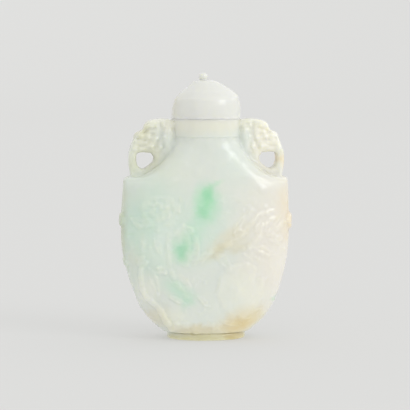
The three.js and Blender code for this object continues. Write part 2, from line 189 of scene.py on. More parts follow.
def close_poles(mesh: Mesh) -> None:
    """Merges the points that meet at each end of a turned solid, and turns every face out of the stone."""
    bm = bmesh.new()
    bm.from_mesh(mesh)
    bmesh.ops.remove_doubles(bm, verts=bm.verts, dist=WELD)
    bmesh.ops.recalc_face_normals(bm, faces=bm.faces)
    bm.to_mesh(mesh)
    bm.free()
    mesh.shade_smooth()


def from_middle(x: Array, z: Array, at: Point, tilt: float) -> tuple[Array, Array]:
    """Places on a face as seen from a middle, along two axes that are tilted by some degrees."""
    turn = math.radians(tilt)
    dx, dz = x - at[0], z - at[1]
    return dx * math.cos(turn) + dz * math.sin(turn), dz * math.cos(turn) - dx * math.sin(turn)


# ---- the carving --------------------------------------------------------------------------------
@dataclass(frozen=True)
class Cut:
    """One figure of the relief, drawn on a face as the viewer sees it: x to the right, z up."""

    def lay(self, ground: Array, x: Array, z: Array) -> Array:
        """Returns the ground's heights with this figure worked into them."""
        raise NotImplementedError


@dataclass(frozen=True)
class Raised(Cut):
    """A figure that stands out of the ground, with a small trench round it."""

    height: float = 0.5
    trench: float = 0.1
    trench_width: float = 0.45
    edge: float = 0.34
    ground_kept: float = 0.35

    def outline(self, x: Array, z: Array) -> tuple[Array, Array]:
        """Returns how far outside the outline each point is, and the crown's height there."""
        raise NotImplementedError

    def lay(self, ground: Array, x: Array, z: Array) -> Array:
        """Digs the trench beside the outline and sets the crown inside it."""
        away, crown = self.outline(x, z)
        inside = smooth(self.edge, -self.edge, away)
        beside = np.exp(-((np.maximum(away - self.edge, 0) / self.trench_width) ** 2))
        dug = ground - self.trench * beside * (1 - inside)
        return dug * (1 - inside) + np.maximum(self.ground_kept * ground + crown, crown) * inside


@dataclass(frozen=True)
class Fruit(Raised):
    """A rounded fruit or petal: an oval that narrows to a tip, with an optional seam."""

    at: Point = (0, 0)
    half: Point = (1, 1)
    tilt: float = 0
    narrowing: float = 0.35
    seam: float = 0
    seam_offset: float = 0.28
    seam_width: float = 0.5
    fullness: float = 2.4
    rim: float = 0.35

    def outline(self, x: Array, z: Array) -> tuple[Array, Array]:
        """The oval, narrowing to its tip, under a dome."""
        u, v = from_middle(x, z, self.at, self.tilt)
        up = np.clip(v / self.half[1], -1, 1)
        width = self.half[0] * (1 - self.narrowing * np.maximum(up, 0) ** 2)
        r = np.hypot(u / width, v / self.half[1])
        dome = np.maximum(1 - r**self.fullness, 0) ** 0.5
        crown = self.height * (self.rim + (1 - self.rim) * dome)
        if self.seam:
            line = self.seam_offset * self.half[0] * (1 - up**2)
            groove = np.exp(-(((u - line) / self.seam_width) ** 2))
            crown = crown - self.seam * groove * smooth(-0.5, 0.3, up)
        return (r - 1) * min(self.half), crown


@dataclass(frozen=True)
class Leaf(Raised):
    """A leaf from its stalk to its tip, with a midrib and side veins."""

    start: Point = (0, 0)
    end: Point = (1, 1)
    width: float = 1
    bend: float = 0
    midrib: float = 0.16
    midrib_width: float = 0.22
    veins: float = 0.06
    vein_pitch: float = 1.15
    vein_slant: float = 0.9

    def outline(self, x: Array, z: Array) -> tuple[Array, Array]:
        """The blade, with its midrib and veins."""
        ux, uz = self.end[0] - self.start[0], self.end[1] - self.start[1]
        length = math.hypot(ux, uz)
        dx, dz = x - self.start[0], z - self.start[1]
        s = (dx * ux + dz * uz) / length**2
        inside = np.clip(s, 0, 1)
        across = (dz * ux - dx * uz) / length - self.bend * 4 * inside * (1 - inside)
        half = np.maximum(self.width * np.sin(math.pi * inside**0.8), 0.02)
        beyond = (s - inside) * length
        over = np.abs(across) - half
        away = np.hypot(np.maximum(over, 0), beyond) - np.maximum(-over, 0) * (beyond == 0)
        share = np.clip(np.abs(across) / half, 0, 1)
        crown = self.height * (0.5 + 0.5 * np.sqrt(1 - share**2) * (0.6 + 0.4 * share))
        crown -= self.midrib * np.exp(-((across / self.midrib_width) ** 2)) * smooth(0, 0.15, inside)
        along = s * length - self.vein_slant * np.abs(across)
        crown += self.veins * np.cos(2 * math.pi * along / self.vein_pitch) * share
        return away, crown


def nearest_on(path: Array, x: Array, z: Array) -> tuple[Array, Array]:
    """Returns each point's distance to a path, and how far along the path its nearest place is, 0 to 1."""
    gap = np.full(x.shape, np.inf)
    where = np.zeros(x.shape)
    for i, (px, pz) in enumerate(path):
        d = np.hypot(x - px, z - pz)
        where = np.where(d < gap, i / (len(path) - 1), where)
        gap = np.minimum(gap, d)
    return gap, where


@dataclass(frozen=True)
class Stem(Raised):
    """A half-round, slightly knotty stem along a smooth path."""

    path: tuple[Point, ...] = ()
    radii: Point = (1, 1)
    share: float = 0.55
    knottiness: float = 0.1

    def outline(self, x: Array, z: Array) -> tuple[Array, Array]:
        """The half-round along the path, with its knots."""
        gap, where = nearest_on(smooth_path(list(self.path)), x, z)
        knots = 1 + self.knottiness * np.cos(2 * math.pi * where * len(self.path))
        radius = (self.radii[0] + (self.radii[1] - self.radii[0]) * where) * knots
        dome = np.sqrt(np.maximum(1 - (gap / radius) ** 2, 0))
        return gap - radius, self.share * radius * (0.25 + 0.75 * dome)


@dataclass(frozen=True)
class Line(Cut):
    """A line worked into what is there: cut in where its depth is positive, left standing where negative."""

    path: tuple[Point, ...] = ()
    depth: float = 0.3
    width: float = 0.35

    def lay(self, ground: Array, x: Array, z: Array) -> Array:
        """Draws the line in, fading at both ends."""
        gap, where = nearest_on(smooth_path(list(self.path)), x, z)
        fade = smooth(0, 0.12, where + 0.05) * smooth(1.05, 0.88, where)
        return ground - self.depth * fade * np.exp(-((gap / self.width) ** 2))


@dataclass(frozen=True)
class Pit(Cut):
    """A drilled or scooped hollow, or a boss where its depth is negative."""

    at: Point = (0, 0)
    half: Point = (0.6, 0.6)
    tilt: float = 0
    depth: float = 0.5

    def lay(self, ground: Array, x: Array, z: Array) -> Array:
        """Scoops the hollow out."""
        u, v = from_middle(x, z, self.at, self.tilt)
        r2 = (u / self.half[0]) ** 2 + (v / self.half[1]) ** 2
        return ground - self.depth * np.exp(-(r2**1.4))


class Face(Enum):
    """The two broad faces, by the sign of their y."""

    FRONT = -1
    BACK = 1


# The stems, as path, radius at each end, and how much of the radius stands out.
STEMS = (
    (((-10.7, 29.6), (-10.5, 24), (-10.3, 19.6), (-8.4, 15.6), (-6, 12)), (0.8, 0.7), 0.3),
    (((-17.3, 28.4), (-17.2, 25), (-17.5, 21), (-17.6, 18)), (0.6, 0.8), 0.22),
    (((-17.6, 19), (-17.6, 16.4), (-16.7, 12.2), (-13.2, 8.8), (-11.2, 5.4), (-9.6, 3.2)), (0.7, 1), 0.8),
    (((-2.6, 21.8), (0.8, 24.2), (5, 25.2), (10, 24.4), (15.6, 22.3)), (1.1, 0.6), 0.34),
    (((4.2, 25.4), (7.2, 27), (10.3, 30.2), (13, 32.9), (17.6, 34.2)), (0.9, 0.6), 0.34),
    (((10.6, 25), (13.6, 27.8), (17.4, 28.6), (20, 31)), (0.9, 0.7), 0.34),
    (((-4.2, 20.8), (-3.2, 23.4), (-3.4, 26.6), (-4.8, 29.4), (-7, 30.6)), (0.7, 0.6), 0.4),
)
# The leaves, as stalk, tip, half-width and bend.
LEAVES = (
    ((5.9, 27.9), (10, 28.4), 1.3, 0.5),
    ((1.2, 23.4), (5.8, 18.7), 1.5, 0.3),
    ((8, 24), (13.9, 19.6), 1.3, 0.4),
    ((12.6, 27.4), (14, 32), 1.3, 0.3),
    ((14.4, 28.4), (19.4, 32.8), 1.6, 0.4),
    ((15, 27.4), (20.4, 26.6), 1.4, -0.3),
    ((11.4, 24.6), (17.2, 22.2), 1.2, 0.3),
    ((-15.9, 19.6), (-13.2, 11.6), 1.2, 0.4),
    ((-15.2, 30.6), (-20.6, 32.4), 1.7, 0.3),
    ((-10.9, 18.2), (-15, 18.6), 1.2, -0.5),
    ((-4.4, 12.8), (-11, 16.6), 0.9, 0.2),
    ((-4.6, 13.6), (-9.2, 18.8), 0.9, -0.2),
    ((-6, 10.2), (-11.4, 12.6), 0.8, 0.2),
    ((0.2, 9.2), (-3.6, 12.9), 0.8, 0.2),
    ((9, 4.2), (2.4, 5.6), 0.8, 0.3),
    ((14, 8.4), (8.2, 5.4), 1, 0.3),
    ((-14.4, 27.2), (-12.8, 22.4), 1.1, 0.3),
    ((6.2, 29.4), (9.2, 33.4), 0.9, -0.3),
)
# Lines worked over the figures, as path, depth and width: a depth below 0 leaves a ridge.
LINES = (
    (((-18.1, 35.6), (-16.8, 37.4), (-14.7, 38.4), (-12.4, 38.7), (-9.3, 38.9)), 0.16, 0.45),
    (((-13.4, 35), (-13.6, 33.8), (-14.3, 32.3)), 0.3, 0.45),
    (((-7.8, 37.8), (-7.7, 36), (-8, 34)), -0.26, 0.4),
    (((-12.9, 37.2), (-11.8, 36.4), (-10.9, 35.6)), 0.16, 0.35),
    (((-15.6, 35.6), (-14.2, 36), (-13.5, 37.2)), -0.2, 0.4),
    (((-11, 35.4), (-10.3, 34), (-10.8, 32.2)), -0.18, 0.4),
    (((-17.4, 34), (-16.4, 32.4), (-15.6, 31.2)), -0.14, 0.5),
    (((-8.7, 33.2), (-8.9, 32), (-8.6, 31)), 0.16, 0.35),
    (((-6.9, 30.7), (-6.1, 30.2), (-5.2, 29.9)), -0.26, 0.4),
    (((-17.4, 27), (-17.4, 25), (-17.5, 22.9)), -0.14, 0.35),
    (((-13.3, 29.8), (-13.5, 28.4), (-13.2, 27)), -0.18, 0.4),
    (((-11, 27.6), (-11.2, 26), (-11, 24)), -0.14, 0.4),
    (((-17.6, 29.4), (-16.8, 28.9), (-16, 29.2)), 0.16, 0.4),
    (((-15.6, 22.3), (-15.1, 21.4), (-14.8, 20.4)), 0.18, 0.35),
    (((-13.4, 19.8), (-12.5, 18.6), (-10.8, 18)), -0.24, 0.35),
    (((-4.9, 28.2), (-4.8, 26.2), (-4.7, 24.2)), 0.24, 0.4),
    (((-3, 25.8), (-3, 24), (-3.3, 22.6)), -0.2, 0.35),
    (((-4.6, 21.4), (-3.4, 21.7), (-2.4, 22.2)), -0.16, 0.4),
    (((0.7, 30), (0.7, 28.8), (0.5, 27.8)), -0.12, 0.5),
    (((-15.9, 18.6), (-15, 16.9), (-14.1, 14.8), (-13.2, 12.6)), 0.26, 0.38),
    (((-11, 16), (-10, 15), (-9.2, 14.2)), -0.16, 0.3),
    (((-10, 16.3), (-8.1, 15.6), (-5.2, 14.5)), 0.14, 0.3),
    (((-3.5, 12), (-2.3, 11), (-1.1, 9.6)), -0.2, 0.32),
    (((0.8, 22), (1.8, 21), (2.6, 19.5), (1.6, 18), (0.2, 16.6), (0, 15.2), (1.1, 14.2), (1.2, 12.8)),
     0.22, 0.42),
    (((2.8, 18), (3.1, 15.8), (3, 13.4)), -0.14, 0.55),
    (((2, 24.9), (3.6, 24.3), (5.2, 24.5)), 0.16, 0.3),
    (((2.4, 23.5), (4, 23.6), (5.6, 23.9)), 0.16, 0.3),
    (((6, 26.2), (7.6, 26.4), (8.6, 25.6)), 0.22, 0.4),
    (((7.8, 24), (9.2, 23.2), (10.4, 22.9)), 0.2, 0.4),
    (((5.9, 28.4), (6.8, 29.3), (7.8, 29.4), (9.4, 28.5)), -0.22, 0.4),
    (((11.1, 24.4), (12, 23.7), (12.9, 23.3)), 0.18, 0.35),
    (((13.4, 23.6), (14.6, 22.9), (16, 22.5)), -0.2, 0.35),
    (((10.6, 30), (11.6, 31.3), (12.6, 33.2)), -0.18, 0.45),
    (((13.4, 30.4), (14.4, 31.6), (15.6, 32.2)), 0.16, 0.4),
    (((18.6, 33), (20.2, 31.4), (21, 29.4)), -0.14, 0.4),
    (((2.2, 5.8), (4.4, 6), (6.2, 5.9), (8, 6.5)), 0.24, 0.35),
    (((9.6, 3.6), (12.4, 5.6), (14.8, 8.2)), 0.12, 0.5),
)
# Small hollows, as middle, half-size, tilt and depth: a depth below 0 leaves a boss.
PITS = (
    ((-12.7, 37.1), (0.45, 0.4), 0, 0.26),
    ((-14.7, 35.8), (1, 0.4), 10, -0.16),
    ((-10.6, 30.9), (0.5, 0.5), 0, -0.2),
    ((-19.8, 32.6), (0.6, 0.9), 0, -0.14),
    ((-7.6, 23.8), (1.8, 3.1), 0, 0.36),
    ((-7.4, 23), (0.9, 0.9), 0, 0.12),
    ((-3.7, 28.4), (0.6, 0.45), -20, 0.26),
    ((-0.8, 24.1), (0.5, 0.6), 20, 0.24),
    ((-16.6, 21.8), (0.4, 0.5), 0, 0.24),
    ((-8.1, 18.9), (0.6, 0.5), 0, -0.16),
    ((-13.6, 17), (0.5, 0.5), 0, -0.16),
    ((-4.7, 16.6), (0.8, 0.4), 0, -0.12),
    ((-7.5, 13.1), (1.1, 0.4), 0, 0.18),
    ((-10.6, 13.2), (0.5, 0.4), -30, 0.14),
    ((-5.3, 10.3), (0.9, 0.6), 0, 0.28),
    ((-5.3, 7.8), (0.6, 0.8), 0, 0.16),
    ((-2.5, 12.4), (0.6, 0.5), 30, 0.2),
    ((0, 10.1), (0.6, 0.5), 0, 0.26),
    ((1.1, 8.2), (0.35, 0.6), 0, 0.2),
    ((5.3, 19.1), (0.6, 0.5), 0, -0.16),
    ((3.9, 20.1), (0.4, 0.4), 0, -0.12),
    ((12.7, 16.6), (0.85, 3), -16, 0.4),
    ((12.9, 16.4), (0.3, 0.7), -16, -0.16),
    ((8.1, 26), (0.5, 0.8), 0, 0.2),
    ((7.6, 31.1), (0.55, 0.9), 0, 0.24),
    ((14.8, 31.7), (0.6, 0.7), 30, 0.22),
    ((12.5, 33.2), (0.45, 0.7), -30, -0.16),
    ((13.6, 28.6), (0.6, 0.8), 0, -0.14),
    ((17.4, 27.1), (0.45, 0.5), 0, -0.2),
    ((16.4, 30), (0.6, 0.6), 0, 0.18),
    ((-9.4, 44.6), (0.4, 0.7), 0, 0.08),
)
GREAT_PEACH = Fruit(
    height=0.5, at=(8.2, 13.3), half=(6.6, 7.8), tilt=174, seam=0.12, trench=0.12, edge=0.8, rim=0.4
)
SMALL_PEACH = Fruit(height=0.4, at=(-6.9, 25), half=(3.7, 5.4), tilt=-170, edge=0.45, trench=0.08)
KNOB = Fruit(height=0.35, at=(-17.6, 21), half=(1.7, 1.8), narrowing=0)
BLOSSOM_AT = (-12.8, 34)
BLOSSOM_CUSHION = Fruit(height=0.2, at=(-13, 33.9), half=(5.4, 4.9), narrowing=0, rim=0.9, edge=0.5)
# The blossom's rounds of petals, as count, reach, half-size, height and first turn.
PETALS = ((7, 3.3, 2.1, 0.16, 10), (5, 1.5, 1.4, 0.28, 40))
ROCKS = 5


def blossom(at: Point, rings: tuple[tuple[int, float, float, float, float], ...]) -> list[Raised]:
    """An open flower of rounds of petals.

    Args:
        at: The flower's middle.
        rings: For each round, how many petals it has, how far out they stand, their half-size, their
            height and the first one's turn in degrees.

    Returns:
        The petals, outermost first.
    """
    petals: list[Raised] = []
    for count, reach, size, height, first in rings:
        for i in range(count):
            turn = math.radians(first + 360 * i / count)
            middle = (at[0] + reach * math.cos(turn), at[1] + reach * math.sin(turn))
            tilt = math.degrees(turn) + 90
            petals.append(Fruit(height=height, at=middle, half=(size, 0.9 * size), tilt=tilt, rim=0.6))
    return petals


def ripple(x: Array, z: Array, pitch: float) -> Array:
    """A gentle unevenness about 1 high, from waves that run every way and never line up."""
    total = np.zeros(np.shape(x))
    for i in range(1, 12):
        turn = 2.4 * i
        length = pitch * (0.7 + 0.06 * i)
        total += np.sin(2 * math.pi * (x * math.cos(turn) + z * math.sin(turn)) / length + 1.7 * i * i)
    return total / 3.4


def worked_share(x: Array, z: Array) -> Array:
    """How closely a face is worked: all over between the foot and the flower, less on the great fruit."""
    low = smooth(40, 36, z + 0.1 * np.abs(x))
    (at_x, at_z), (half_x, half_z) = GREAT_PEACH.at, GREAT_PEACH.half
    off_fruit = smooth(0.7, 1.1, np.hypot((x - at_x) / half_x, (z - at_z) / half_z))
    return low * (0.3 + 0.7 * off_fruit)


def rock(i: int) -> Fruit:
    """One of the row of rounded rocks along the foot of the scene."""
    at = (-8.4 + 2.55 * i, 3.9 + 0.5 * math.sin(2.3 * i))
    return Fruit(height=0.2, at=at, half=(1.5, 1.4 + 0.3 * math.sin(4 * i)))


def figures(face: Face) -> list[Cut]:
    """Everything carved on a face, in the order it is worked; the back is plainer."""
    if face is Face.BACK:
        return [
            *[Leaf(start=a, end=b, width=w, bend=c) for a, b, w, c in LEAVES[1:5]],
            GREAT_PEACH,
            *[Stem(path=path, radii=radii, share=0.55) for path, radii, _ in STEMS[3:5]],
        ]
    return [
        SMALL_PEACH,
        *[Leaf(start=a, end=b, width=w, bend=c, height=0.36) for a, b, w, c in LEAVES],
        GREAT_PEACH,
        *[Stem(path=path, radii=radii, share=share) for path, radii, share in STEMS],
        KNOB,
        BLOSSOM_CUSHION,
        *blossom(BLOSSOM_AT, PETALS),
        *[rock(i) for i in range(ROCKS)],
        *[Line(path=path, depth=depth, width=width) for path, depth, width in LINES],
        *[Pit(at=at, half=half, tilt=tilt, depth=depth) for at, half, tilt, depth in PITS],
    ]


def carved_ground(face: Face, x: Array, z: Array) -> Array:
    """How high everything carved on a face stands at places on it, with x as the viewer sees it."""
    ground = np.zeros(len(x))
    for figure in figures(face):
        ground = figure.lay(ground, x, z)
    return ground


# ---- the bottle ---------------------------------------------------------------------------------
@dataclass(frozen=True)
class Wall:
    """The smooth outside of the vessel, before it is carved."""

    belly_z: float = 28
    half_width: float = 22.25
    half_depth: float = 10.9
    squareness: float = 2.35
    rounding: Point = (38, 52)
    lower_width_reach: float = 29.6
    lower_depth_reach: float = 38.5
    upper_reach: float = 66
    shoulder_x: float = 20.6
    shoulder_z: float = 53.2
    shoulder_reach_x: float = 11.6
    shoulder_reach_z: float = 10.5
    shoulder_power: float = 1.75
    shoulder_slope: float = 4
    corner_round: float = 1.5
    edge_power: float = 9
    lead_in: float = 1.2
    lead_round: float = 6
    neck_radius: float = 8.85
    collar_z: float = 53.4
    swell: float = 1.05
    swell_z: float = 5.5
    swell_reach: float = 6.3
    sway: float = -0.28
    sway_z: float = 28
    sway_reach: float = 12

    def oval_width_at(self, z: Array) -> Array:
        """Half-width at a height without the shoulders: two half-ovals, fuller just above the foot."""
        below = np.clip((self.belly_z - z) / self.lower_width_reach, 0, 1)
        above = np.clip((z - self.belly_z) / self.upper_reach, 0, 1)
        swell = self.swell * np.exp(-(((z - self.swell_z) / self.swell_reach) ** 2))
        return self.half_width * np.sqrt(1 - below**2 - above**2) + swell

    def face_width_at(self, z: Array) -> Array:
        """Half-width that the broad faces would have at a height if the shoulders weren't cut away."""
        wall = self.oval_width_at(z)
        shoulder_foot = self.shoulder_z - self.shoulder_reach_z
        return wall + (self.neck_radius - wall) * smooth(shoulder_foot, self.collar_z, z)

    def width_at(self, z: Array, corner_round: float | None = None) -> Array:
        """Half-width of the outer wall at a height, with its corner at the shoulder rounded."""
        drop = np.clip((self.shoulder_z - z) / self.shoulder_reach_z, 0, 1)
        hollow = self.shoulder_reach_x * (1 - drop**self.shoulder_power) ** (1 / self.shoulder_power)
        past = np.maximum(self.shoulder_z - self.shoulder_reach_z - z, 0)
        shoulder = self.shoulder_x - hollow + self.shoulder_slope * past
        return soft_min(self.oval_width_at(z), shoulder, corner_round or self.corner_round)

    def depth_at(self, z: Array) -> Array:
        """Half-depth of the outer wall at a height."""
        below = np.maximum(self.belly_z - z, 0) / self.lower_depth_reach
        low = self.half_depth * np.sqrt(np.maximum(1 - below**2, 0))
        high = self.half_depth + (self.neck_radius - self.half_depth) * smooth(self.belly_z, self.collar_z, z)
        return np.where(z < self.belly_z, low, high)

    def sway_at(self, z: Array) -> Array:
        """How far the wall's middle stands off the axis at a height, because the stone was cut by hand."""
        return self.sway * np.exp(-(((z - self.sway_z) / self.sway_reach) ** 2))

    def squareness_at(self, z: Array) -> Array:
        """How square the section is at a height."""
        return self.squareness + (2 - self.squareness) * smooth(*self.rounding, z)

    def point(self, z: Array, turn: Array) -> tuple[Array, Array]:
        """Where the wall is at a height and a turn: the broad faces, cut round to the shoulders."""
        face = self.face_width_at(z)
        x, y = section_point(face, self.depth_at(z), self.squareness_at(z), turn)
        across = x / face
        x = x * self.share_kept(across, face, self.width_at(z)) + self.sway_at(z)
        ahead = self.width_at(z + self.lead_in, self.lead_round)
        return x, y * self.share_kept(across, face, ahead)

    def share_kept(self, across: Array, face: Array, width: Array) -> Array:
        """How much of a section is kept where the broad face is cut back to a narrower width."""
        cut = np.maximum((face / np.minimum(width, face * 0.9999)) ** self.edge_power - 1, 1e-9)
        return (1 + cut * np.abs(across) ** self.edge_power) ** (-1 / self.edge_power)


@dataclass(frozen=True)
class Handle:
    """A beast's mask against the neck, with a ring that hangs to the shoulder, for the right side."""

    wall: Wall = field(default_factory=Wall)
    voxel: float = 0.22
    smoothing: int = 4
    blend_passes: int = 90
    blend_reach: float = 2.4
    curls: tuple[Point, ...] = (
        (11.4, 56.2), (11.2, 53.4), (12, 50.6), (13.2, 52.8), (15.4, 53.2), (14.4, 50.8), (17.3, 53.6)
    )
    root_z: Point = (41, LIP_Z - 0.7)
    root_x: float = 3
    root_skin: Point = (0.995, 0.89)
    root_rows: int = 72
    root_columns: int = 160
    collar: float = CAP_RADIUS - 0.05
    head_half: float = 3.0
    ring_half: float = 2.8
    edge: float = 0.9
    unevenness: float = 0.05
    head: tuple[Point, ...] = (
        (7.5, 57.4), (9.2, 57.8), (11.5, 58), (13.6, 57.8), (15.3, 57.3), (16.3, 56.4), (16.6, 55.3),
        (17.5, 54.7), (18.7, 53.4), (19.6, 51.6), (20.1, 50), (19.4, 49.5), (14.3, 49.3), (13.4, 47.4),
        (12.4, 44.6), (9.4, 46.4), (7.5, 51),
    )
    ring: tuple[Point, ...] = (
        (13, 51.6), (18.6, 52.6), (20.2, 50), (20.5, 48.6), (20.5, 46.4), (20.2, 44.2), (19.5, 42.4),
        (16, 40.6), (12, 41.4), (10.6, 46),
    )
    gap: tuple[Point, ...] = (
        (14.6, 49), (16.6, 49.2), (18.1, 49), (18.5, 48.3), (18.5, 46.8), (18, 45.5), (16.9, 44.8),
        (15.6, 45.4), (14.2, 46.6), (13.9, 47.8),
    )
    # Lumps in the middle, snout and brow, and those on both sides, mane, cheek and eye: place and radii.
    lumps: tuple[tuple[Place, Place], ...] = (
        ((17.6, 0, 52.8), (1.7, 2.5, 1.9)),
        ((14.4, 0, 56.1), (1.9, 3.3, 1.5)),
    )
    side_lumps: tuple[tuple[Place, Place], ...] = (
        ((10, 2.4, 52.6), (1.7, 1.7, 5)),
        ((15.2, 2.2, 51.2), (2, 1.1, 1.5)),
        ((16.9, 2.2, 53.5), (0.9, 0.9, 0.9)),
    )

    def plate(self, bm: BMesh, outlines: tuple[tuple[Point, ...], ...], half: float) -> None:
        """Adds a flat plate with rounded edges.

        Args:
            bm: The mesh that it is added to, in millimetres.
            outlines: Its outer outline and those of its openings.
            half: Half of its thickness.
        """
        made = bmesh.new()
        for outline in outlines:
            path = smooth_path([*outline, outline[0]], 3)[:-1]
            verts = [made.verts.new((x, -half, z)) for x, z in path]
            for pair in zip(verts, [*verts[1:], verts[0]]):
                made.edges.new(pair)
        bmesh.ops.triangle_fill(made, edges=made.edges, use_beauty=True, use_dissolve=True)
        flat = [*made.faces]
        grown = bmesh.ops.extrude_face_region(made, geom=flat)["geom"]
        moved = [g for g in grown if isinstance(g, bmesh.types.BMVert)]
        bmesh.ops.translate(made, verts=moved, vec=(0, 2 * half, 0))
        bmesh.ops.recalc_face_normals(made, faces=made.faces)
        rims = [e for e in made.edges if e.is_manifold and e.calc_face_angle() > math.radians(60)]
        bmesh.ops.bevel(
            made, geom=rims, offset=self.edge, affect="EDGES", segments=3, profile=0.5, material=-1
        )
        mesh = bpy.data.meshes.new("plate")
        made.to_mesh(mesh)
        made.free()
        bm.from_mesh(mesh)
        bpy.data.meshes.remove(mesh)

    def add_lump(self, bm: BMesh, at: Place, radii: Place) -> None:
        """Adds an oval lump at a place, in millimetres."""
        place = Matrix.Translation(Vector(at)) @ Matrix.Diagonal((*radii, 1))
        bmesh.ops.create_uvsphere(bm, u_segments=20, v_segments=12, radius=1, matrix=place)

    def add_root(self, bm: BMesh) -> None:
        """Adds the skin of neck and shoulder that the handle grows from, just inside the vessel's wall."""
        levels = np.linspace(*self.root_z, self.root_rows)
        heights = np.concatenate([levels, levels[::-1]])
        shares = np.repeat(self.root_skin, self.root_rows)
        root = turned_rows(len(heights), self.root_columns)
        mesh = bpy.data.meshes.new("root")
        root.to_mesh(mesh)
        root.free()
        row, turn = row_and_turn(mesh)
        z = heights[row]
        x, y = self.wall.point(z, turn)
        on_collar = z > self.wall.collar_z - 0.1
        x[on_collar] = self.collar * np.cos(turn[on_collar])
        y[on_collar] = self.collar * np.sin(turn[on_collar])
        place_vertices(mesh, np.stack([x * shares[row], y * shares[row], z], -1))
        bm.from_mesh(mesh)
        bpy.data.meshes.remove(mesh)
        bmesh.ops.bridge_loops(bm, edges=[e for e in bm.edges if e.is_boundary])
        every = [*bm.verts, *bm.edges, *bm.faces]
        middle = (self.root_x, 0, 0)
        cut = bmesh.ops.bisect_plane(bm, geom=every, plane_co=middle, plane_no=(1, 0, 0), clear_inner=True)
        rim = [g for g in cut["geom_cut"] if isinstance(g, bmesh.types.BMEdge)]
        bmesh.ops.triangle_fill(bm, edges=rim, use_beauty=True)
        bmesh.ops.recalc_face_normals(bm, faces=bm.faces)

    def shape(self) -> BMesh:
        """Returns the handle's parts, overlapping, in millimetres."""
        bm = bmesh.new()
        self.add_root(bm)
        self.plate(bm, (self.head,), self.head_half)
        self.plate(bm, (self.ring, self.gap), self.ring_half)
        for at, radii in self.lumps:
            self.add_lump(bm, at, radii)
        for side in (-1, 1):
            for (x, y, z), radii in self.side_lumps:
                self.add_lump(bm, (x, side * y, z), radii)
        return bm

    def face_figures(self) -> list[Cut]:
        """What is cut into both flat sides of the handle: mane, brow, eye, mouth and tusk."""
        return [
            Line(path=((12.2, 57.6), (12.1, 54.4), (12.9, 51.6), (13.8, 49.8)), depth=0.22, width=0.45),
            Line(path=((10.4, 57.4), (10.6, 54), (11.6, 50.4), (12.8, 47.8)), depth=0.12, width=0.35),
            Line(path=((15, 51.8), (16.4, 51), (18, 51)), depth=0.18, width=0.35),
            Line(path=((13.4, 55.7), (14.6, 55.3), (15.6, 55.6)), depth=0.25, width=0.4),
            *[Pit(at=at, half=(0.55, 0.5), depth=-0.28) for at in self.curls],
            Pit(at=(16.2, 54.9), half=(0.9, 0.8), depth=0.7),
            Pit(at=(14.3, 53.9), half=(0.8, 0.6), depth=0.3),
            Pit(at=(18.8, 50.2), half=(0.7, 1), depth=-0.3),
            Pit(at=(18.2, 52.8), half=(0.45, 0.4), depth=0.35),
            Pit(at=(16.4, 52.4), half=(0.4, 0.4), depth=0.25),
        ]

    def build(self) -> Object:
        """Returns the handle as one closed skin, in metres."""
        bm = self.shape()
        bmesh.ops.scale(bm, vec=(MM, MM, MM), verts=bm.verts)
        obj = finished_object("handle", bm)
        fuse = obj.modifiers.new("fuse", "REMESH")
        fuse.mode = "VOXEL"
        fuse.voxel_size = self.voxel * MM
        fuse.adaptivity = 0
        soften = obj.modifiers.new("soften", "SMOOTH")
        soften.factor = 0.5
        soften.iterations = self.smoothing
        apply_modifiers(obj)
        self.blend(obj)
        co, out = coordinates(obj.data) / MM, normals(obj.data)
        height = np.zeros(len(co))
        for figure in self.face_figures():
            height = figure.lay(height, co[:, 0], co[:, 2])
        height += self.unevenness * ripple(co[:, 0], co[:, 2], 2.2)
        height *= smooth(0.2, 0.8, np.abs(out[:, 1]))
        place_vertices(obj.data, (co + out * height[:, None]) * MM)
        return obj

    def blend(self, obj: Object) -> None:
        """Fills the corner between the handle and the wall with a soft hollow curve."""
        x, y, z = (coordinates(obj.data) / MM).T
        wide = np.where(z > self.wall.collar_z, self.collar, self.wall.width_at(z))
        deep = np.where(z > self.wall.collar_z, self.collar, self.wall.depth_at(z))
        square = self.wall.squareness_at(z)
        reach = (np.abs(x / wide) ** square + np.abs(y / deep) ** square) ** (-1 / square)
        beyond = np.hypot(x, y) * (1 - reach)
        share = smooth(self.blend_reach, 0.4 * self.blend_reach, beyond)
        group = obj.vertex_groups.new(name="root")
        for i in np.flatnonzero(share > 0.02):
            group.add([int(i)], float(share[i]), "REPLACE")
        blend = obj.modifiers.new("blend", "SMOOTH")
        blend.factor = 0.5
        blend.iterations = self.blend_passes
        blend.vertex_group = group.name
        apply_modifiers(obj)
        obj.vertex_groups.clear()


Row = tuple[float, float, float, float, float]  # half-width, half-depth, squareness, z, 1 if carved


